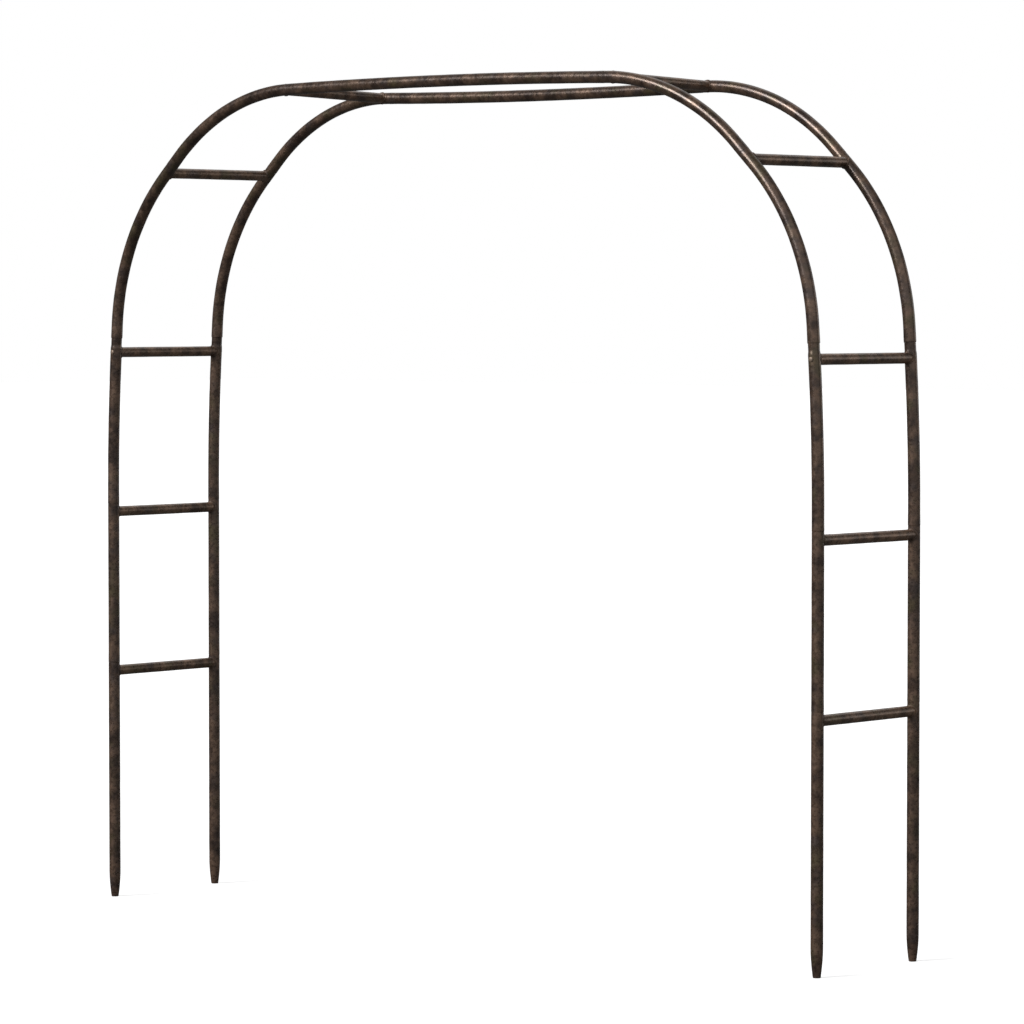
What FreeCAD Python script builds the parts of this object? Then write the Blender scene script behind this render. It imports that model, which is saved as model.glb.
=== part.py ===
# Garden arbor: a free-standing arch of push-together steel tube.
#
# Two hoops stand one behind the other, joined by ten rungs. Each hoop is eleven
# lengths of tube. Every length but the rail has its upper end swaged down to a
# spigot, which slides into the socket end of the next length and leaves a short
# neck in sight. The rungs are welded across, just below the swaged ends.
#
# Frame: millimetres, X from left to right, Y from front to back, Z up. The origin
# is on the ground, midway between the four leg tips.

import FreeCAD, Part
import math
import os
import Sketcher
from FreeCAD import Placement, Rotation, Vector

doc = FreeCAD.newDocument("garden_arbor")


# ---------------------------------------------------------------- sizes

DRIVING_SIZES = [
    ("arch_width", 2370, "left leg to right leg, centre to centre"),
    ("hoop_gap", 380, "front hoop to back hoop, centre to centre"),
    ("low_rung", 608, "height of the lowest rung"),
    ("rung_step", 426, "from one rung to the next, up the legs"),
    ("tube_dia", 30, "hoop tube, outside"),
    ("tube_wall", 1.2, "wall of every tube"),
    ("rung_dia", 27, "rung tube, outside"),
    ("spigot_dia", 27.2, "swaged end, outside"),
    ("neck_length", 2, "stretch of a swaged end that stays in sight"),
    ("high_neck_length", 18, "the same at the high rungs, where the shoulders slide on"),
    ("socket_depth", 35, "how far a swaged end slides into the next tube"),
    ("swage_length", 3, "step where the tube is drawn down to the spigot"),
    ("weld_to_neck", 20, "centre of a rung to the start of the neck"),
    ("bend_to_rung", 15, "end of a bend to the centre of the rung above it"),
    ("top_rung_inset", 15, "centre of a top rung to the end of the bend that it is on"),
    ("tip_dia", 19, "open end of a leg"),
    ("tip_length", 56, "taper at the foot of a leg"),
    ("leg_lean", 3.5, "degrees that the legs lean in where the shoulders start"),
    ("mid_slope", 46, "degrees from upright halfway round a shoulder"),
    ("low_bend_radius", 593, "centreline radius of the lower shoulder bend"),
    ("front_bend_radius", 599, "centreline radius of the upper front shoulder bend"),
    ("front_end_slope", 88.65, "degrees from upright where the front rail starts"),
    ("back_end_slope", 91.3, "degrees from upright where the back rail starts"),
]

sheet = doc.addObject("Spreadsheet::Sheet", "Sizes")
size = {}


def add_size(alias, value, note):
    """Write one size to the sheet as a plain number, and keep it for placing."""
    row = len(size) + 1
    sheet.set(f"A{row}", note)
    sheet.set(f"B{row}", f"{value:.9g}")
    sheet.setAlias(f"B{row}", alias)
    size[alias] = float(f"{value:.9g}")


for alias, value, note in DRIVING_SIZES:
    add_size(alias, value, note)


# ---------------------------------------------------------------- path of a hoop

def straight(length):
    """Step along a straight length of tube."""
    return Placement(Vector(0, 0, length), Rotation())


def bend(radius, turn):
    """Step round a bend towards the inside of the arch, through turn degrees."""
    angle = math.radians(turn)
    offset = Vector(radius * (1 - math.cos(angle)), 0, radius * math.sin(angle))
    return Placement(offset, Rotation(Vector(0, 1, 0), turn))


# A joint is where one tube ends and the next begins, above each rung.
rung_to_joint = size["weld_to_neck"] + size["neck_length"]
rung_to_high_joint = size["weld_to_neck"] + size["high_neck_length"]

leg_turn = size["leg_lean"]
low_turn = size["mid_slope"] - size["leg_lean"]
leg_bend_length = (size["rung_step"] - rung_to_joint - size["socket_depth"]
                   - size["bend_to_rung"])
leg_bend_radius = leg_bend_length / math.radians(leg_turn)

# Where each length of tube starts, from the foot of a left leg upwards.
foot_start = Placement()
middle_start = foot_start * straight(size["low_rung"] + rung_to_joint)
top_start = middle_start * straight(size["rung_step"])


def after_bend(start, radius, turn):
    """The end of the bend in a tube that starts with a straight socket."""
    return start * straight(size["socket_depth"]) * bend(radius, turn)


# The rungs, and the joints just past them, up to the middle of a shoulder.
high_rung = after_bend(top_start, leg_bend_radius, leg_turn) * straight(size["bend_to_rung"])
low_start = high_rung * straight(rung_to_high_joint)
shoulder_rung = (after_bend(low_start, size["low_bend_radius"], low_turn)
                 * straight(size["bend_to_rung"]))
high_start = shoulder_rung * straight(rung_to_joint)

# The front shoulders stop short of level and the back ones go a little past it. The
# back ones are rolled tighter, to end as far in, so that the top rungs lie square.
mid_slope, front_end, back_end = (math.radians(size[name]) for name in
                                  ("mid_slope", "front_end_slope", "back_end_slope"))
front_reach = size["front_bend_radius"] * (math.cos(mid_slope) - math.cos(front_end))
back_radius = front_reach / (math.cos(mid_slope) - math.cos(back_end))

add_size("leg_bend_radius", leg_bend_radius, "centreline radius of the upper leg")
add_size("low_turn", low_turn, "degrees turned by the lower shoulder bend")
add_size("front_turn", size["front_end_slope"] - size["mid_slope"],
         "degrees turned by the upper front shoulder bend")
add_size("back_turn", size["back_end_slope"] - size["mid_slope"],
         "degrees turned by the upper back shoulder bend")
add_size("back_bend_radius", back_radius, "centreline radius of the upper back shoulder bend")
add_size("bend_to_swage", size["bend_to_rung"] + size["weld_to_neck"] - size["swage_length"],
         "straight stretch from a bend to the swaged end")
add_size("top_bend_to_swage",
         size["weld_to_neck"] - size["top_rung_inset"] - size["swage_length"],
         "the same on an upper shoulder tube")


def top_of(hoop):
    """Where the top rung crosses a hoop, and where that hoop's rail starts."""
    radius, turn = size[f"{hoop}_bend_radius"], size[f"{hoop}_turn"]
    short_turn = turn - math.degrees(size["top_rung_inset"] / radius)
    rung = after_bend(high_start, radius, short_turn)
    joint = (after_bend(high_start, radius, turn)
             * straight(rung_to_joint - size["top_rung_inset"]))
    return rung, joint


top_rung, rail_start = {}, {}
for hoop in ("front", "back"):
    top_rung[hoop], rail_start[hoop] = top_of(hoop)
    off_level = abs(90 - size[f"{hoop}_end_slope"])
    reach = size["arch_width"] / 2 - (rail_start[hoop] * straight(size["socket_depth"])).Base.x
    add_size(f"{hoop}_rail_turn", 2 * off_level, f"degrees turned by the {hoop} rail")
    add_size(f"{hoop}_rail_radius", reach / math.sin(math.radians(off_level)),
             f"centreline radius of the {hoop} rail")
doc.recompute()


# ---------------------------------------------------------------- features

def new_body(label):
    body = doc.addObject("PartDesign::Body", label)
    body.Label = label
    return body


def origin_plane(body, role):
    for feature in body.Origin.OriginFeatures:
        if feature.Role == role:
            return feature
    raise RuntimeError(f"{body.Label} has no {role}")


def new_sketch(body, name, role="XY_Plane", offset=Placement()):
    sketch = body.newObject("Sketcher::SketchObject", f"{body.Label}_{name}")
    sketch.AttachmentSupport = [(origin_plane(body, role), "")]
    sketch.MapMode = "FlatFace"
    sketch.AttachmentOffset = offset
    return sketch


def bound(sketch, constraint, name, expression):
    """Add a named dimension to a sketch and bind it to the sheet."""
    index = sketch.addConstraint(constraint)
    sketch.renameConstraint(index, name)
    sketch.setExpression(f"Constraints.{name}", expression)


def ring(sketch, outer, inner, distance=None):
    """Draw a tube's section, at the sketch's origin or off to one side of it.

    outer and inner are expressions for the two diameters. distance is an alias
    for how far from the origin the centre lies, towards minus X.
    """
    x = -size[distance] if distance else 0
    start_radii = {"outside": size["tube_dia"] / 2, "inside": size["tube_dia"] / 3}
    for name, expression in (("outside", outer), ("inside", inner)):
        radius = start_radii[name]
        circle = sketch.addGeometry(Part.Circle(Vector(x, 0, 0), Vector(0, 0, 1), radius))
        if distance and name == "outside":
            sketch.addConstraint(Sketcher.Constraint("PointOnObject", circle, 3, -1))
            bound(sketch, Sketcher.Constraint("DistanceX", circle, 3, -1, 1, abs(x)),
                  "away", f"Sizes.{distance}")
        elif name == "outside":
            sketch.addConstraint(Sketcher.Constraint("Coincident", circle, 3, -1, 1))
        else:
            sketch.addConstraint(Sketcher.Constraint("Coincident", circle, 3, 0, 3))
        bound(sketch, Sketcher.Constraint("Diameter", circle, 2 * radius), name, expression)


def add_stretch(body, name, offset, outer, inner, length):
    """Add a straight stretch of tube that starts at offset. Sizes are expressions."""
    sketch = new_sketch(body, f"{name}_section", offset=offset)
    ring(sketch, outer, inner)
    pad = body.newObject("PartDesign::Pad", f"{body.Label}_{name}")
    pad.Profile = sketch
    pad.setExpression("Length", length)
    return pad


def add_bend(body, name, offset, radius, turn):
    """Add a bent stretch of tube: radius and turn are aliases."""
    centre = offset * Placement(Vector(size[radius], 0, 0), Rotation())
    sketch = new_sketch(body, f"{name}_section", offset=centre)
    ring(sketch, TUBE, BORE, distance=radius)
    sweep = body.newObject("PartDesign::Revolution", f"{body.Label}_{name}")
    sweep.Profile = sketch
    sweep.ReferenceAxis = (sketch, ["V_Axis"])
    sweep.setExpression("Angle", f"Sizes.{turn}")
    return sweep


TUBE = "Sizes.tube_dia"
BORE = "Sizes.tube_dia - 2 * Sizes.tube_wall"
SPIGOT = "Sizes.spigot_dia"
SPIGOT_BORE = "Sizes.spigot_dia - 2 * Sizes.tube_wall"


def add_swaged_end(body, offset, neck="neck_length"):
    """Add the step, the neck and the spigot at the upper end of a tube."""
    add_stretch(body, "swage", offset, TUBE, SPIGOT_BORE, "Sizes.swage_length")
    offset = offset * straight(size["swage_length"])
    add_stretch(body, "spigot", offset, SPIGOT, SPIGOT_BORE,
                f"Sizes.{neck} + Sizes.socket_depth")


def add_tip(body):
    """Add the taper at the foot of a leg: a hollow cone with an even wall."""
    sketch = new_sketch(body, "tip_section", role="XZ_Plane")
    wall = size["tube_wall"]
    corners = [
        (size["tip_dia"] / 2 - wall, 0, "Sizes.tip_dia / 2 - Sizes.tube_wall", None),
        (size["tip_dia"] / 2, 0, "Sizes.tip_dia / 2", None),
        (size["tube_dia"] / 2, size["tip_length"], "Sizes.tube_dia / 2", "Sizes.tip_length"),
        (size["tube_dia"] / 2 - wall, size["tip_length"],
         "Sizes.tube_dia / 2 - Sizes.tube_wall", "Sizes.tip_length"),
    ]
    for index, corner in enumerate(corners):
        following = corners[(index + 1) % len(corners)]
        sketch.addGeometry(Part.LineSegment(Vector(corner[0], corner[1], 0),
                                            Vector(following[0], following[1], 0)))
    for index in range(len(corners)):
        following = (index + 1) % len(corners)
        sketch.addConstraint(Sketcher.Constraint("Coincident", index, 2, following, 1))
    for index, (across, up, across_size, up_size) in enumerate(corners):
        bound(sketch, Sketcher.Constraint("DistanceX", -1, 1, index, 1, across),
              f"across_{index}", across_size)
        if up_size:
            bound(sketch, Sketcher.Constraint("DistanceY", -1, 1, index, 1, up),
                  f"up_{index}", up_size)
        else:
            sketch.addConstraint(Sketcher.Constraint("PointOnObject", index, 1, -1))
    cone = body.newObject("PartDesign::Revolution", f"{body.Label}_tip")
    cone.Profile = sketch
    cone.ReferenceAxis = (sketch, ["V_Axis"])
    cone.Angle = 360
    return cone


# ---------------------------------------------------------------- sub-parts

def make_leg_foot(label):
    """Lowest length of a leg, with its tapered tip."""
    body = new_body(label)
    add_tip(body)
    add_stretch(body, "tube", straight(size["tip_length"]), TUBE, BORE,
                "Sizes.low_rung + Sizes.weld_to_neck - Sizes.swage_length - Sizes.tip_length")
    add_swaged_end(body, straight(size["low_rung"] + size["weld_to_neck"] - size["swage_length"]))
    return body


def make_leg_middle(label):
    """Straight length between the two lowest rungs."""
    body = new_body(label)
    add_stretch(body, "tube", Placement(), TUBE, BORE,
                "Sizes.rung_step - Sizes.neck_length - Sizes.swage_length")
    add_swaged_end(body, straight(size["rung_step"] - size["neck_length"] - size["swage_length"]))
    return body


def make_bent_tube(label, radius, turn, end="bend_to_swage", neck="neck_length"):
    """Length of tube with a socket end, one bend and a swaged end. Sizes are aliases."""
    body = new_body(label)
    add_stretch(body, "socket", Placement(), TUBE, BORE, "Sizes.socket_depth")
    add_bend(body, "bend", straight(size["socket_depth"]), radius, turn)
    offset = after_bend(Placement(), size[radius], size[turn])
    add_stretch(body, "tube", offset, TUBE, BORE, f"Sizes.{end}")
    add_swaged_end(body, offset * straight(size[end]), neck)
    return body


def make_rail(label, hoop):
    """Top rail, one shallow bend with a socket at both ends.

    The front rail goes on turning the way its shoulders do, and so bows up. The back
    one turns the other way, and so sags.
    """
    body = new_body(label)
    facing = Rotation(Vector(0, 0, 1), 0 if hoop == "front" else 180)
    turned = Placement(Vector(), facing)
    radius, turn = f"{hoop}_rail_radius", f"{hoop}_rail_turn"
    add_stretch(body, "socket_left", Placement(), TUBE, BORE, "Sizes.socket_depth")
    offset = straight(size["socket_depth"]) * turned
    add_bend(body, "bend", offset, radius, turn)
    offset = offset * bend(size[radius], size[turn])
    add_stretch(body, "socket_right", offset, TUBE, BORE, "Sizes.socket_depth")
    return body


def make_rung(label):
    """Rung, its two ends cut to saddle the hoop tubes. Its own Z follows the hoop."""
    body = new_body(label)
    sketch = new_sketch(body, "section", role="XZ_Plane")
    ring(sketch, "Sizes.rung_dia", "Sizes.rung_dia - 2 * Sizes.tube_wall")
    pad = body.newObject("PartDesign::Pad", f"{label}_tube")
    pad.Profile = sketch
    pad.Midplane = True
    pad.setExpression("Length", "Sizes.hoop_gap")
    doc.recompute()
    uncut = body.Shape.Volume
    saddles = new_sketch(body, "saddle_section")
    for name, sign in (("front", -1), ("back", 1)):
        y = sign * size["hoop_gap"] / 2
        circle = saddles.addGeometry(Part.Circle(Vector(0, y, 0), Vector(0, 0, 1),
                                                 size["tube_dia"] / 2))
        saddles.addConstraint(Sketcher.Constraint("PointOnObject", circle, 3, -2))
        ends = (circle, 3, -1, 1) if sign < 0 else (-1, 1, circle, 3)
        bound(saddles, Sketcher.Constraint("DistanceY", *ends, abs(y)),
              f"{name}_hoop", "Sizes.hoop_gap / 2")
        bound(saddles, Sketcher.Constraint("Diameter", circle, size["tube_dia"]),
              f"{name}_tube", TUBE)
    cut = body.newObject("PartDesign::Pocket", f"{label}_saddles")
    cut.Profile = saddles
    cut.Midplane = True
    cut.setExpression("Length", "2 * Sizes.rung_dia")
    doc.recompute()
    if body.Shape.Volume >= uncut:
        raise RuntimeError(f"{label}: the saddle cuts missed the rung")
    return body


# ---------------------------------------------------------------- assembly

half_width = size["arch_width"] / 2
half_gap = size["hoop_gap"] / 2
SIDES = {"left": 0, "right": 180}
HOOPS = {"front": -half_gap, "back": half_gap}


def on_side(side, place, y):
    """Move a placement on the left half of the path to one side and depth.

    The right half is the left one turned half round about Z.
    """
    turn = Placement(Vector(0, y, 0), Rotation(Vector(0, 0, 1), SIDES[side]))
    return turn * Placement(Vector(-half_width, 0, 0), Rotation()) * place


def between(side, front, back):
    """Place a rung from the front hoop's path to the back one's, tilted to meet both."""
    middle = Placement((front.Base + back.Base) / 2, front.Rotation.slerp(back.Rotation, 0.5))
    tilt = math.degrees(math.atan2(back.Base.z - front.Base.z, size["hoop_gap"]))
    place = on_side(side, middle, 0)
    place.Rotation = Rotation(Vector(1, 0, 0), tilt) * place.Rotation
    return place


parts = []

for hoop, y in HOOPS.items():
    for side in SIDES:
        ends = f"{hoop}_{side}"
        pieces = [
            (make_leg_foot(f"leg_foot_{ends}"), foot_start),
            (make_leg_middle(f"leg_middle_{ends}"), middle_start),
            (make_bent_tube(f"leg_top_{ends}", "leg_bend_radius", "leg_lean",
                            neck="high_neck_length"), top_start),
            (make_bent_tube(f"shoulder_low_{ends}", "low_bend_radius", "low_turn"), low_start),
            (make_bent_tube(f"shoulder_high_{ends}", f"{hoop}_bend_radius", f"{hoop}_turn",
                            end="top_bend_to_swage"), high_start),
        ]
        for body, place in pieces:
            body.Placement = on_side(side, place, y)
            parts.append(body)
    rail = make_rail(f"top_rail_{hoop}", hoop)
    rail.Placement = on_side("left", rail_start[hoop], y)
    parts.append(rail)

# Every rung is just below the joint where the next length of tube starts.
low_rung = foot_start * straight(size["low_rung"])
middle_rung = low_rung * straight(size["rung_step"])
for name, front, back in (("low", low_rung, low_rung), ("middle", middle_rung, middle_rung),
                          ("high", high_rung, high_rung),
                          ("shoulder", shoulder_rung, shoulder_rung),
                          ("top", top_rung["front"], top_rung["back"])):
    for side in SIDES:
        rung = make_rung(f"rung_{name}_{side}")
        rung.Placement = between(side, front, back)
        parts.append(rung)


# ---------------------------------------------------------------- checks and files

doc.recompute()
for item in doc.Objects:
    if "Invalid" in item.State or "Error" in item.State:
        raise RuntimeError(f"{item.Label} did not recompute: {item.State}")
for body in parts:
    if body.Shape.isNull() or not body.Shape.isValid() or len(body.Shape.Solids) != 1:
        raise RuntimeError(f"{body.Label} is not one valid solid")

os.makedirs("parts", exist_ok=True)
for body in parts:
    body.Shape.exportStep(f"parts/{body.Label}.step")
print(len(parts), "sub-parts written")
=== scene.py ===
import math

import bmesh
import bpy
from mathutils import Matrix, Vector, noise


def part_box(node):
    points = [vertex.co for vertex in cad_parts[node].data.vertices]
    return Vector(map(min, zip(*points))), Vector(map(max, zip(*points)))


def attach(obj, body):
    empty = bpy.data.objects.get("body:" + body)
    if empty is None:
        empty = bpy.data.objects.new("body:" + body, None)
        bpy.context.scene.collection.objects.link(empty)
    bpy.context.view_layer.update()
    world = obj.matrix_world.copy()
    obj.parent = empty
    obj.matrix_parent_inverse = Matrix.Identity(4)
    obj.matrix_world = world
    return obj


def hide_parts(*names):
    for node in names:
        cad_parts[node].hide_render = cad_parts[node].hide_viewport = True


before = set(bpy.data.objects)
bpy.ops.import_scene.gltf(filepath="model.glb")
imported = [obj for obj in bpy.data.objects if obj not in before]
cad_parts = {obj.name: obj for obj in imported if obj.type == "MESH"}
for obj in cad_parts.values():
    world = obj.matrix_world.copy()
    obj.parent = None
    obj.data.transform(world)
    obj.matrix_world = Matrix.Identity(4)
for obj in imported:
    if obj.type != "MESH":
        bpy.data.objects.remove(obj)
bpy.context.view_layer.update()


# ---------------------------------------------------------------- leg feet
# The lowest length of each leg is drawn steel tube with a thin wall, painted a dark
# hammered bronze. Its lower end is pressed to a blunt four-lobed tip that pushes into
# soil, and its upper end is swaged down to a spigot for the next length to slide over.

foot_low, foot_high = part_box("leg_foot_front_left")
middle_low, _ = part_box("leg_middle_front_left")
back_low, back_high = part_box("leg_foot_back_left")
leg_x = (foot_low.x + foot_high.x) / 2
hoop_y = {"front": (foot_low.y + foot_high.y) / 2, "back": (back_low.y + back_high.y) / 2}

tube_radius = (foot_high.x - foot_low.x) / 2
tube_wall = 0.0012
spigot_radius = 0.0136
socket_depth = foot_high.z - middle_low.z
neck_length = 0.002
swage_length = 0.004
long_swage_length = 0.010
swage_steps = 5
neck_paint = 0.0013
long_neck_paint = 0.00039
low_joint = middle_low.z

tip_length = 0.072
tip_radius = 0.0100
tip_lobe = 0.0006
edge_round = 0.0008

wave_height, waves_per_metre = 0.00022, 22
ripple_height, ripples_per_metre = 0.00004, 90

around = 40
sharp_angle = math.radians(35)
ring_spacing = {"paint": 0.0035, "plain": 0.0120}
CORNERS = [(hoop, side) for hoop in ("front", "back") for side in ("left", "right")]


def along(runs, distance):
    """Point, direction and inward normal at a distance along the left half of a hoop.

    runs is a list of (length, turn) from the foot up: turn is in radians, towards the
    inside of the arch, and 0 on a straight run. The hoop lies in the plane y = 0.
    """
    x, z, heading = leg_x, 0.0, 0.0
    for length, turn in runs:
        part = min(distance, length)
        bend = turn * part / length
        if turn:
            radius = length / turn
            x += radius * (math.cos(heading) - math.cos(heading + bend))
            z += radius * (math.sin(heading + bend) - math.sin(heading))
        else:
            x += part * math.sin(heading)
            z += part * math.cos(heading)
        heading += bend
        distance -= part
        if distance <= 0:
            break
    forward = Vector((math.sin(heading), 0, math.cos(heading)))
    inward = Vector((math.cos(heading), 0, -math.sin(heading)))
    return Vector((x, 0, z)) + forward * distance, forward, inward


def spaced(knots):
    """Fill in an outline, so that its rings are close together where the paint shows."""
    outline = []
    for (start, start_radius, skin), (end, end_radius, _) in zip(knots, knots[1:]):
        count = max(1, math.ceil(abs(end - start) / ring_spacing[skin]))
        for index in range(count):
            share = index / count
            outline.append((start + (end - start) * share,
                            start_radius + (end_radius - start_radius) * share, skin))
    return outline


def hammered(point):
    """Height of the paint's uneven skin over a true tube, in metres."""
    return (wave_height * noise.noise(point * waves_per_metre)
            + ripple_height * noise.noise(point * ripples_per_metre))


def closed_mesh(name, rings):
    """Mesh from rings of points, joined each to the next and the last to the first."""
    count = len(rings[0])
    shape = bmesh.new()
    loops = [[shape.verts.new(point) for point in ring] for ring in rings]
    for ring, following in zip(loops, loops[1:] + loops[:1]):
        for column in range(count):
            after = (column + 1) % count
            shape.faces.new((ring[column], ring[after], following[after], following[column]))
    bmesh.ops.recalc_face_normals(shape, faces=shape.faces)
    mesh = bpy.data.meshes.new(name)
    shape.to_mesh(mesh)
    shape.free()
    mesh.shade_smooth()
    mesh.set_sharp_from_angle(angle=sharp_angle)
    piece = bpy.data.objects.new(name, mesh)
    bpy.context.scene.collection.objects.link(piece)
    return piece


def hoop_tube(name, hoop, side, runs, knots, pressed=None):
    """Sweep a closed outline of (distance, radius, skin) along one side of a hoop.

    The right side mirrors the left. pressed gives how far the wall is pressed in
    between the lobes of a tip, at a distance from the foot.
    """
    mirror = Vector((-1 if side == "right" else 1, 1, 1))
    across = Vector((0, 1, 0))
    rings = []
    for distance, radius, skin in spaced(knots + knots[:1]):
        centre, forward, inward = along(runs, distance)
        centre.y = hoop_y[hoop]
        depth = pressed(distance) if pressed else 0
        ring = []
        for index in range(around):
            angle = 2 * math.pi * index / around
            outward = inward * math.cos(angle) + across * math.sin(angle)
            lobed = radius - depth * (0.5 - 0.5 * math.cos(4 * angle))
            point = (centre + outward * lobed) * mirror
            if skin == "paint":
                point += outward * mirror * hammered(point)
            ring.append(point)
        rings.append(ring)
    return closed_mesh(name, rings)


def spigot_knots(joint, neck, painted_from):
    """Outline of a tube's upper end: the outside, then back down inside the wall.

    Paint nearly fills a short neck, and only thickens a long one a little.
    """
    bore, spigot_bore = tube_radius - tube_wall, spigot_radius - tube_wall
    short = neck <= neck_length
    neck_radius = spigot_radius + (neck_paint if short else long_neck_paint)
    swage_end = joint - neck
    swage_start = swage_end - (swage_length if short else long_swage_length)
    knots = [(swage_start, tube_radius, "plain")]
    for step in range(1, swage_steps):
        share = step / swage_steps
        drop = (tube_radius - neck_radius) * (3 - 2 * share) * share * share
        knots.append((swage_start + (swage_end - swage_start) * share, tube_radius - drop, "plain"))
    return knots + [
        (swage_end, neck_radius, "paint"),
        (joint - edge_round * 0.1, neck_radius, "plain"),
        (joint, neck_radius - edge_round * 0.1, "plain"),
        (joint + edge_round * 0.5, spigot_radius, "plain"),
        (joint + socket_depth - edge_round, spigot_radius, "plain"),
        (joint + socket_depth, spigot_radius - edge_round, "plain"),
        (joint + socket_depth, spigot_bore, "plain"),
        (swage_end, spigot_bore, "plain"),
        (swage_start, bore, "plain"),
        (painted_from, bore, "plain"),
    ]


def node_group(name, inputs, outputs):
    """New shader node group with sockets given as (name, kind, default)."""
    group = bpy.data.node_groups.new(name, "ShaderNodeTree")
    for label, kind, default in inputs:
        socket = group.interface.new_socket(label, in_out="INPUT", socket_type=kind)
        socket.default_value = default
    for label, kind in outputs:
        group.interface.new_socket(label, in_out="OUTPUT", socket_type=kind)
    return group, group.nodes.new("NodeGroupInput"), group.nodes.new("NodeGroupOutput")


COLOUR, NUMBER = "NodeSocketColor", "NodeSocketFloat"


def noise_field(tree, scale, shift):
    """Noise in the piece's own space, from 0 to 1, moved aside by shift."""
    where = tree.nodes.new("ShaderNodeTexCoord")
    moved = tree.nodes.new("ShaderNodeVectorMath")
    moved.inputs[1].default_value = shift
    tree.links.new(where.outputs["Object"], moved.inputs[0])
    pattern = tree.nodes.new("ShaderNodeTexNoise")
    pattern.inputs["Scale"].default_value = scale
    pattern.inputs["Detail"].default_value = 2.0
    pattern.inputs["Roughness"].default_value = 0.6
    tree.links.new(moved.outputs[0], pattern.inputs["Vector"])
    return pattern.outputs["Fac"]


def spread(tree, value, low, high, low_out=0.0, high_out=1.0):
    """Stretch a value between low and high to the given outputs, eased at both ends."""
    ramp = tree.nodes.new("ShaderNodeMapRange")
    ramp.interpolation_type = "SMOOTHSTEP"
    ramp.inputs["From Min"].default_value = low
    ramp.inputs["From Max"].default_value = high
    ramp.inputs["To Min"].default_value = low_out
    ramp.inputs["To Max"].default_value = high_out
    tree.links.new(value, ramp.inputs["Value"])
    return ramp.outputs["Result"]


def blended(tree, share, first, second):
    """Mix two colours. first and second are sockets or plain colours."""
    mix = tree.nodes.new("ShaderNodeMix")
    mix.data_type = "RGBA"
    tree.links.new(share, mix.inputs["Factor"])
    for given, socket in ((first, mix.inputs["A"]), (second, mix.inputs["B"])):
        if isinstance(given, tuple):
            socket.default_value = (*given, 1)
        else:
            tree.links.new(given, socket)
    return mix.outputs["Result"]


def combined(tree, operation, first, second, clamp=False):
    """Arithmetic on two values, each a socket or a plain number."""
    node = tree.nodes.new("ShaderNodeMath")
    node.operation = operation
    node.use_clamp = clamp
    for given, socket in zip((first, second), node.inputs):
        if isinstance(given, (int, float)):
            socket.default_value = given
        else:
            tree.links.new(given, socket)
    return node.outputs[0]


def mottled_paint_group():
    """Cloudy hammered paint: a deep tone with brown patches, grey ones and olive ones."""
    group, given, result = node_group(
        "mottled_paint",
        [("Deep", COLOUR, (0.01, 0.01, 0.01, 1)), ("Brown", COLOUR, (0.1, 0.06, 0.04, 1)),
         ("Grey", COLOUR, (0.06, 0.06, 0.06, 1)), ("Olive", COLOUR, (0.06, 0.06, 0.03, 1)),
         ("Roughness", NUMBER, 0.4)],
        [("Color", COLOUR), ("Roughness", NUMBER)])
    brown = spread(group, noise_field(group, 26, (0, 0, 0)), 0.28, 0.70)
    grey = spread(group, noise_field(group, 19, (3.1, 7.7, 1.9)), 0.48, 0.76, 0, 0.8)
    olive = spread(group, noise_field(group, 15, (9.4, 1.3, 6.6)), 0.50, 0.76, 0, 0.9)
    streak = noise_field(group, 120, (5.3, 2.2, 8.4))
    colour = blended(group, brown, given.outputs["Deep"], given.outputs["Brown"])
    colour = blended(group, grey, colour, given.outputs["Grey"])
    colour = blended(group, olive, colour, given.outputs["Olive"])
    tint = group.nodes.new("ShaderNodeVectorMath")
    tint.operation = "SCALE"
    group.links.new(colour, tint.inputs[0])
    group.links.new(spread(group, streak, 0.3, 0.7, 0.8, 1.2), tint.inputs["Scale"])
    group.links.new(tint.outputs[0], result.inputs["Color"])
    swing = spread(group, streak, 0.3, 0.7, -0.07, 0.07)
    group.links.new(combined(group, "ADD", given.outputs["Roughness"], swing, clamp=True),
                    result.inputs["Roughness"])
    return group


def hammer_marks_group():
    """Height of the small shallow dimples that hammered paint dries to."""
    group, given, result = node_group(
        "hammer_marks", [("Dimples per Metre", NUMBER, 220.0)], [("Height", NUMBER)])
    where = group.nodes.new("ShaderNodeTexCoord")
    dimples = group.nodes.new("ShaderNodeTexVoronoi")
    dimples.feature = "SMOOTH_F1"
    dimples.inputs["Smoothness"].default_value = 0.7
    group.links.new(where.outputs["Object"], dimples.inputs["Vector"])
    group.links.new(given.outputs["Dimples per Metre"], dimples.inputs["Scale"])
    ripple = noise_field(group, 95, (1.7, 4.1, 2.9))
    group.links.new(combined(group, "ADD", dimples.outputs["Distance"], ripple),
                    result.inputs["Height"])
    return group


def rubbed_edges_group():
    """Mask of ridges where the paint is thin or rubbed, broken up by a fine noise."""
    group, given, result = node_group(
        "rubbed_edges", [("Amount", NUMBER, 0.5)], [("Mask", NUMBER)])
    shape = group.nodes.new("ShaderNodeNewGeometry")
    ridge = spread(group, shape.outputs["Pointiness"], 0.53, 0.62)
    chips = spread(group, noise_field(group, 300, (2.0, 2.0, 2.0)), 0.40, 0.62)
    broken = combined(group, "MULTIPLY", ridge, chips)
    group.links.new(combined(group, "MULTIPLY", broken, given.outputs["Amount"], clamp=True),
                    result.inputs["Mask"])
    return group


mottled_paint = mottled_paint_group()
hammer_marks = hammer_marks_group()
rubbed_edges = rubbed_edges_group()
rubbed_colour = (0.22, 0.15, 0.10)


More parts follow.
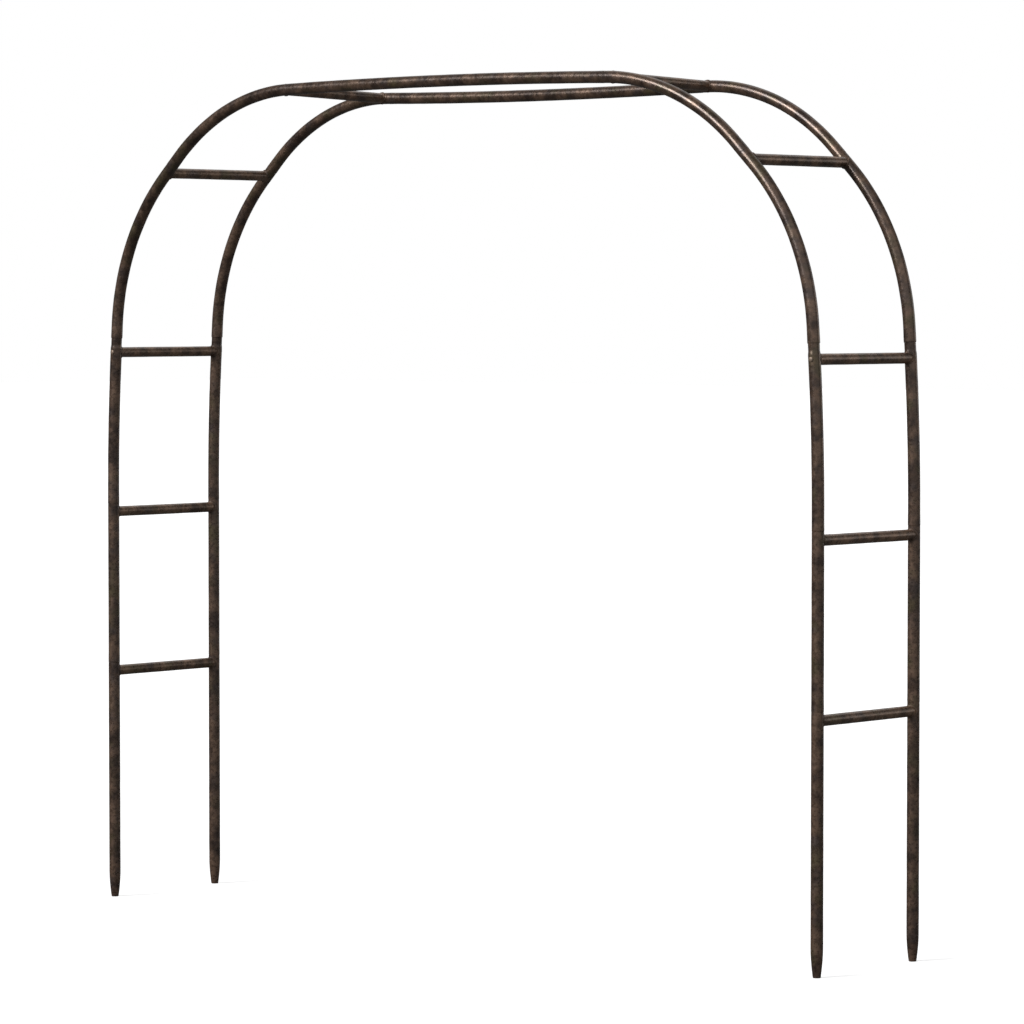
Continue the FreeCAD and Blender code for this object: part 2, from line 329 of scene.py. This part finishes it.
def bronze_finish(name, deep, brown, grey, olive, roughness, dimples, rubbed):
    """Paint material: mottled colour, dimpled skin, and lighter rubbed ridges."""
    material = bpy.data.materials.new(name)
    material.use_nodes = True
    tree = material.node_tree
    tree.nodes.clear()
    output = tree.nodes.new("ShaderNodeOutputMaterial")
    paint = tree.nodes.new("ShaderNodeBsdfPrincipled")
    paint.inputs["Metallic"].default_value = 0.5
    paint.inputs["Specular IOR Level"].default_value = 1.0
    tree.links.new(paint.outputs[0], output.inputs["Surface"])

    mottle = tree.nodes.new("ShaderNodeGroup")
    mottle.node_tree = mottled_paint
    for label, colour in (("Deep", deep), ("Brown", brown), ("Grey", grey), ("Olive", olive)):
        mottle.inputs[label].default_value = (*colour, 1)
    mottle.inputs["Roughness"].default_value = roughness
    rubs = tree.nodes.new("ShaderNodeGroup")
    rubs.node_tree = rubbed_edges
    rubs.inputs["Amount"].default_value = rubbed
    tree.links.new(blended(tree, rubs.outputs["Mask"], mottle.outputs["Color"], rubbed_colour),
                   paint.inputs["Base Color"])
    tree.links.new(mottle.outputs["Roughness"], paint.inputs["Roughness"])

    marks = tree.nodes.new("ShaderNodeGroup")
    marks.node_tree = hammer_marks
    marks.inputs["Dimples per Metre"].default_value = dimples
    bump = tree.nodes.new("ShaderNodeBump")
    bump.inputs["Strength"].default_value = 0.25
    bump.inputs["Distance"].default_value = 0.0003
    tree.links.new(marks.outputs["Height"], bump.inputs["Height"])
    tree.links.new(bump.outputs["Normal"], paint.inputs["Normal"])
    return material


tube_paint = bronze_finish("tube_paint", deep=(0.040, 0.023, 0.016), brown=(0.165, 0.102, 0.068),
                           grey=(0.070, 0.052, 0.047), olive=(0.088, 0.067, 0.032),
                           roughness=0.31, dimples=230, rubbed=0.12)


def fit_to_arch(piece, material, *nodes):
    """Give a piece its finish, and put it in the place of the CAD nodes named."""
    piece.data.materials.append(material)
    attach(piece, "root")
    if nodes:
        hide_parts(*nodes)


def pressed_tip(distance):
    """How far the foot's wall is pressed in between its lobes."""
    share = max(0.0, 1 - distance / tip_length)
    return tip_lobe * share * share * (3 - 2 * share)


tip_steps = 12
taper = [(tip_length * step / tip_steps,
          tube_radius - (tube_radius - tip_radius) * (1 - step / tip_steps) ** 2)
         for step in range(tip_steps + 1)]
straight_leg = [(low_joint, 0.0)]
foot_knots = [(edge_round, tip_radius, "paint")]
foot_knots += [(distance, radius, "paint") for distance, radius in taper[1:]]
foot_knots += spigot_knots(low_joint, neck_length, tip_length)
foot_knots += [(distance, radius - tube_wall, "plain") for distance, radius in reversed(taper)]
foot_knots += [(0.0, tip_radius - edge_round, "plain")]

for hoop, side in CORNERS:
    foot = hoop_tube(f"foot_tube_{hoop}_{side}", hoop, side, straight_leg, foot_knots, pressed_tip)
    fit_to_arch(foot, tube_paint, f"leg_foot_{hoop}_{side}")


# ---------------------------------------------------------------- leg middles
# A straight length of the same tube between the two lowest rungs. Its lower end is a
# socket, belled out a little by the spigot driven into it, with a rounded lip.

bell_length = 0.030
bell_swell = 0.0002

top_low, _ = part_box("leg_top_front_left")
middle_joint = top_low.z


def socket_knots(joint):
    """Outline of a tube's lower end: inside the bell, over the lip and up outside."""
    bore = tube_radius - tube_wall
    mouth = tube_radius + bell_swell
    return [
        (joint + socket_depth, bore, "plain"),
        (joint + edge_round, bore, "plain"),
        (joint, bore + edge_round, "plain"),
        (joint, mouth - edge_round, "plain"),
        (joint + edge_round * 0.3, mouth - edge_round * 0.3, "plain"),
        (joint + edge_round, mouth, "paint"),
        (joint + edge_round * 2, mouth, "paint"),
        (joint + bell_length * 0.5, tube_radius + bell_swell * 0.6, "paint"),
        (joint + bell_length, tube_radius, "paint"),
    ]


def length_knots(start, end, neck=neck_length):
    """Closed outline of a tube with a socket at one joint and a spigot at the other."""
    return socket_knots(start) + spigot_knots(end, neck, start + 2 * socket_depth)


for hoop, side in CORNERS:
    middle = hoop_tube(f"middle_tube_{hoop}_{side}", hoop, side, [(middle_joint, 0.0)],
                       length_knots(low_joint, middle_joint))
    fit_to_arch(middle, tube_paint, f"leg_middle_{hoop}_{side}")


# ---------------------------------------------------------------- leg tops
# The third length of a leg leans in a few degrees to meet the shoulder. It is rolled to
# a very easy bend, and its spigot leaves a longer neck in sight than the others do.

weld_to_neck = 0.020
bend_to_rung = 0.015
high_neck_length = 0.018
leg_lean = math.radians(3.5)

rung_to_joint = weld_to_neck + neck_length
rung_step = middle_joint - low_joint
leg_bend_length = rung_step - rung_to_joint - socket_depth - bend_to_rung
high_rung = middle_joint - rung_to_joint + rung_step
high_joint = high_rung + weld_to_neck + high_neck_length
leg_runs = [(middle_joint + socket_depth, 0.0), (leg_bend_length, leg_lean),
            (high_joint - high_rung + bend_to_rung, 0.0)]

for hoop, side in CORNERS:
    top = hoop_tube(f"top_tube_{hoop}_{side}", hoop, side, leg_runs,
                    length_knots(middle_joint, high_joint, high_neck_length))
    fit_to_arch(top, tube_paint, f"leg_top_{hoop}_{side}")


# ---------------------------------------------------------------- shoulders
# Each shoulder is two bent lengths of tube that turn the hoop from upright to level.
# The front ones stop just short of level, and the back ones are rolled a little tighter.

mid_slope = math.radians(46)
end_slope = {"front": math.radians(88.65), "back": math.radians(91.3)}
low_bend_radius = 0.593
front_bend_radius = 0.599
top_rung_inset = 0.015

reach_in = front_bend_radius * (math.cos(mid_slope) - math.cos(end_slope["front"]))
high_bend_radius = {"front": front_bend_radius,
                    "back": reach_in / (math.cos(mid_slope) - math.cos(end_slope["back"]))}
low_bend_length = low_bend_radius * (mid_slope - leg_lean)
shoulder_rung = high_joint + socket_depth + low_bend_length + bend_to_rung
shoulder_joint = shoulder_rung + rung_to_joint
shoulder_runs, top_rung, rail_joint = {}, {}, {}

for hoop in hoop_y:
    high_turn = end_slope[hoop] - mid_slope
    high_bend_length = high_bend_radius[hoop] * high_turn
    top_rung[hoop] = shoulder_joint + socket_depth + high_bend_length - top_rung_inset
    rail_joint[hoop] = top_rung[hoop] + rung_to_joint
    shoulder_runs[hoop] = leg_runs + [
        (socket_depth, 0.0), (low_bend_length, mid_slope - leg_lean),
        (bend_to_rung + rung_to_joint + socket_depth, 0.0), (high_bend_length, high_turn)]

for hoop, side in CORNERS:
    low = hoop_tube(f"low_bend_tube_{hoop}_{side}", hoop, side, shoulder_runs[hoop],
                    length_knots(high_joint, shoulder_joint))
    fit_to_arch(low, tube_paint, f"shoulder_low_{hoop}_{side}")
    high = hoop_tube(f"high_bend_tube_{hoop}_{side}", hoop, side, shoulder_runs[hoop],
                     length_knots(shoulder_joint, rail_joint[hoop]))
    fit_to_arch(high, tube_paint, f"shoulder_high_{hoop}_{side}")


# ---------------------------------------------------------------- top rails
# One length of tube joins the two shoulders of each hoop, with a socket at both ends.
# The front rail bows up a little and the back one sags, so daylight shows between them.

for hoop in hoop_y:
    straight_runs = shoulder_runs[hoop] + [(rung_to_joint - top_rung_inset + socket_depth, 0.0)]
    bend_start, _, _ = along(straight_runs, rail_joint[hoop] + socket_depth)
    half_turn = math.pi / 2 - end_slope[hoop]
    rail_bend_length = -bend_start.x / math.sin(half_turn) * 2 * half_turn
    rail_runs = straight_runs + [(rail_bend_length, 2 * half_turn), (socket_depth, 0.0)]
    rail_length = rail_bend_length + 2 * socket_depth
    near_end = socket_knots(rail_joint[hoop])
    far_end = [(2 * rail_joint[hoop] + rail_length - distance, radius, skin)
               for distance, radius, skin in reversed(near_end)]
    rail = hoop_tube(f"rail_tube_{hoop}", hoop, "left", rail_runs, near_end + far_end)
    fit_to_arch(rail, tube_paint, f"top_rail_{hoop}")


# ---------------------------------------------------------------- rungs
# Ten thinner tubes tie the two hoops together. Each end is cut to a saddle that sits
# against the hoop tube, just below the joint where the next length of tube begins.

rung_low_corner, rung_high_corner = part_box("rung_low_left")
rung_radius = (rung_high_corner.z - rung_low_corner.z) / 2
rung_around = 36
rung_rows = 96
low_rung = low_joint - rung_to_joint
middle_rung = middle_joint - rung_to_joint
RUNGS = {"low": (low_rung, low_rung), "middle": (middle_rung, middle_rung),
         "high": (high_rung, high_rung), "shoulder": (shoulder_rung, shoulder_rung),
         "top": (top_rung["front"], top_rung["back"])}

# The rungs wear the same bronze paint as the hoop tubes. This copy is painted lighter all over:
# painted light that stands in for the side light falling on the rungs.
rung_paint_with_painted_light = bronze_finish("rung_paint_with_painted_light", deep=(0.064, 0.038, 0.025), brown=(0.260, 0.160, 0.104),
                           grey=(0.102, 0.076, 0.065), olive=(0.124, 0.092, 0.047),
                           roughness=0.32, dimples=240, rubbed=0.12)


def rung_frame(name, side):
    """Where a rung is: its middle, its axis, half its span, and the hoops' directions."""
    ends = []
    for hoop, distance in zip(("front", "back"), RUNGS[name]):
        point, forward, inward = along(shoulder_runs[hoop], distance)
        point.y = hoop_y[hoop]
        ends.append((point, forward, inward))
    (front, forward, _), (back, back_forward, _) = ends
    mirror = Vector((-1 if side == "right" else 1, 1, 1))
    axis = (back - front) * mirror
    forward = ((forward + back_forward) * mirror).normalized()
    inward = axis.cross(forward).normalized() * (1 if side == "left" else -1)
    return (front + back) * mirror / 2, axis.normalized(), axis.length / 2, forward, inward


def saddle_depth(radius, angle):
    """Distance from the hoop tube's centre to the end of a rung at this angle round it."""
    return math.sqrt(tube_radius ** 2 - (radius * math.cos(angle)) ** 2)


for name in RUNGS:
    for side in ("left", "right"):
        centre, axis, half_span, forward, inward = rung_frame(name, side)
        rings = []
        for radius, rows in ((rung_radius, range(rung_rows + 1)),
                             (rung_radius - tube_wall, range(rung_rows, -1, -rung_rows // 4))):
            for row in rows:
                ring = []
                for index in range(rung_around):
                    angle = 2 * math.pi * index / rung_around
                    outward = inward * math.cos(angle) + forward * math.sin(angle)
                    reach = half_span - saddle_depth(radius, angle)
                    point = centre + outward * radius + axis * (2 * row / rung_rows - 1) * reach
                    if radius == rung_radius:
                        point += outward * hammered(point)
                    ring.append(point)
                rings.append(ring)
        rung = closed_mesh(f"rung_tube_{name}_{side}", rings)
        fit_to_arch(rung, rung_paint_with_painted_light, f"rung_{name}_{side}")


# ---------------------------------------------------------------- weld beads
# A bead of weld runs all round each saddle. It is laid by hand in short overlapping
# ripples, and the paint goes over it, thick in the hollows and thin on the crests.

bead_radius = 0.0019
bead_lift = 0.0006
bead_widening = 1.2
bead_steps = 144
bead_around = 12
weld_ripples = 26
weld_ripple_swell = 0.18
weld_unevenness = 0.16
seam_step = 0.01

bead_paint = bronze_finish("bead_paint", deep=(0.052, 0.031, 0.021), brown=(0.170, 0.106, 0.070),
                           grey=(0.064, 0.048, 0.044), olive=(0.070, 0.054, 0.030),
                           roughness=0.52, dimples=500, rubbed=0.2)


def bead_rings(place, end):
    """Rings of points round one bead. end is -1 at the front hoop and 1 at the back."""
    centre, axis, half_span, forward, inward = place

    def seam(angle):
        outward = inward * math.cos(angle) + forward * math.sin(angle)
        reach = end * (half_span - saddle_depth(rung_radius, angle))
        return centre + outward * rung_radius + axis * reach, outward

    rings = []
    for step in range(bead_steps):
        angle = 2 * math.pi * step / bead_steps
        point, outward = seam(angle)
        ahead = (seam(angle + seam_step)[0] - seam(angle - seam_step)[0]).normalized()
        hoop_centre = centre + axis * end * half_span
        from_hoop = point - hoop_centre - forward * (point - hoop_centre).dot(forward)
        lean = (outward + from_hoop.normalized()).normalized()
        across = lean.cross(ahead).normalized()
        ripple = (weld_ripples * step / bead_steps) % 1
        swell = 1 + weld_ripple_swell * (1 - ripple) ** 2
        swell += weld_unevenness * noise.noise(point * 120)
        middle = point + lean * bead_lift * (1 + 0.5 * noise.noise(point * 60))
        rings.append([middle + bead_radius * swell * (
            lean * math.cos(2 * math.pi * index / bead_around)
            + across * math.sin(2 * math.pi * index / bead_around) * bead_widening)
            for index in range(bead_around)])
    return rings


def joined(name, pieces):
    """Join several pieces into one object with a name of its own."""
    with bpy.context.temp_override(active_object=pieces[0], selected_editable_objects=pieces):
        bpy.ops.object.join()
    pieces[0].name = name
    return pieces[0]


for name in RUNGS:
    for side in ("left", "right"):
        beads = joined(f"weld_beads_{name}_{side}",
                       [closed_mesh(f"bead_{name}_{side}", bead_rings(rung_frame(name, side), end))
                        for end in (-1, 1)])
        fit_to_arch(beads, bead_paint)


# ---------------------------------------------------------------- rivets
# The ends of the high rungs are also held by a rivet through the hoop tube. Its low
# domed head stands on the outer face of the tube. Its paint is lighter all over than the
# tube's, a painted highlight, and lighter still on its ridges where handling has rubbed it.

rivet_radius = 0.0065
rivet_height = 0.0022
rivet_sink = 0.0010
rivet_crown_radius = 0.00026
rivet_rows = 10
rivet_around = 32

# Lighter than the tube paint all over: a painted highlight on the rivet heads, with rubbed ridges
# lighter still.
rivet_paint_with_painted_highlight = bronze_finish("rivet_paint_with_painted_highlight", deep=(0.150, 0.100, 0.070), brown=(0.300, 0.210, 0.150),
                            grey=(0.160, 0.130, 0.110), olive=(0.150, 0.115, 0.080),
                            roughness=0.45, dimples=500, rubbed=0.3)


def rivet_rings(place, end):
    """Rings of a closed dome, from its foot up over the crown and back underneath."""
    centre, axis, half_span, forward, inward = place
    seat = centre + axis * end * (half_span + tube_radius)
    rings = []
    profile = [(rivet_radius * math.cos(math.pi / 2 * row / rivet_rows),
                rivet_height * math.sin(math.pi / 2 * row / rivet_rows))
               for row in range(rivet_rows)]
    profile += [(rivet_crown_radius, rivet_height), (rivet_crown_radius, -rivet_sink),
                (rivet_radius, -rivet_sink)]
    for radius, height in profile:
        rings.append([seat + axis * end * height + radius * (
            inward * math.cos(2 * math.pi * index / rivet_around)
            + forward * math.sin(2 * math.pi * index / rivet_around))
            for index in range(rivet_around)])
    return rings


for side in ("left", "right"):
    rivets = joined(f"rivet_heads_{side}",
                    [closed_mesh(f"rivet_{side}", rivet_rings(rung_frame("high", side), end))
                     for end in (-1, 1)])
    fit_to_arch(rivets, rivet_paint_with_painted_highlight)


# ---------------------------------------------------------------- studio
# A plain pale floor under soft light: a key from the front left, a very broad fill from
# the front right, and two weaker ones from behind so that no side goes black.

bpy.context.scene.view_settings.view_transform = "Standard"

floor_reach = 60.0
floor_mesh = bpy.data.meshes.new("studio_floor")
floor_mesh.from_pydata([(-floor_reach, -floor_reach, 0), (floor_reach, -floor_reach, 0),
                        (floor_reach, floor_reach, 0), (-floor_reach, floor_reach, 0)],
                       [], [(0, 1, 2, 3)])
studio_floor = bpy.data.objects.new("studio_floor", floor_mesh)
bpy.context.scene.collection.objects.link(studio_floor)
pale = bpy.data.materials.new("pale_floor")
pale.use_nodes = True
tree = pale.node_tree
tree.nodes.clear()
seen_floor = tree.nodes.new("ShaderNodeBsdfPrincipled")
seen_floor.inputs["Base Color"].default_value = (0.90, 0.90, 0.90, 1)
seen_floor.inputs["Roughness"].default_value = 1.0
seen_floor.inputs["Specular IOR Level"].default_value = 0.0
seen_floor.inputs["Emission Color"].default_value = (1, 1, 1, 1)
seen_floor.inputs["Emission Strength"].default_value = 0.52
dim_floor = tree.nodes.new("ShaderNodeBsdfDiffuse")
dim_floor.inputs["Color"].default_value = (0.12, 0.12, 0.12, 1)
rays = tree.nodes.new("ShaderNodeLightPath")
choose = tree.nodes.new("ShaderNodeMixShader")
tree.links.new(rays.outputs["Is Camera Ray"], choose.inputs[0])
tree.links.new(dim_floor.outputs[0], choose.inputs[1])
tree.links.new(seen_floor.outputs[0], choose.inputs[2])
tree.links.new(choose.outputs[0], tree.nodes.new("ShaderNodeOutputMaterial").inputs["Surface"])
floor_mesh.materials.append(pale)

SUNS = {
    # name: (strength, width in degrees, direction that the light comes from)
    "key": (2.5, 25, (-0.34, -0.79, 0.49)),
    "front_fill": (1.05, 120, (0.76, -0.64, 0.10)),
    "back_high": (0.4, 50, (-0.32, 0.59, 0.74)),
    "back_low": (0.4, 40, (0.38, 0.92, 0.00)),
}
for name, (strength, width, source) in SUNS.items():
    sun = bpy.data.lights.new(name, "SUN")
    sun.energy = strength
    sun.angle = math.radians(width)
    sun_object = bpy.data.objects.new(name, sun)
    sun_object.rotation_euler = Vector(source).to_track_quat("Z", "Y").to_euler()
    bpy.context.scene.collection.objects.link(sun_object)

world = bpy.data.worlds.new("studio_backdrop")
bpy.context.scene.world = world
world.use_nodes = True
tree = world.node_tree
tree.nodes.clear()
lighting = tree.nodes.new("ShaderNodeBackground")
lighting.inputs["Strength"].default_value = 0.20
seen = tree.nodes.new("ShaderNodeBackground")
seen.inputs["Color"].default_value = (1, 1, 1, 1)
rays = tree.nodes.new("ShaderNodeLightPath")
choose = tree.nodes.new("ShaderNodeMixShader")
tree.links.new(rays.outputs["Is Camera Ray"], choose.inputs[0])
tree.links.new(lighting.outputs[0], choose.inputs[1])
tree.links.new(seen.outputs[0], choose.inputs[2])
tree.links.new(choose.outputs[0], tree.nodes.new("ShaderNodeOutputWorld").inputs["Surface"])

camera_tilt_down = math.radians(2.529)
camera_heading = math.radians(41.12)

camera = bpy.data.cameras.new("camera")
camera.lens = 169
camera.sensor_width = 36
camera.clip_end = 500
camera_object = bpy.data.objects.new("camera", camera)
camera_object.location = (8.069, -9.170, 1.600)
camera_object.rotation_euler = (math.pi / 2 - camera_tilt_down, 0, camera_heading)
bpy.context.scene.collection.objects.link(camera_object)
bpy.context.scene.camera = camera_object
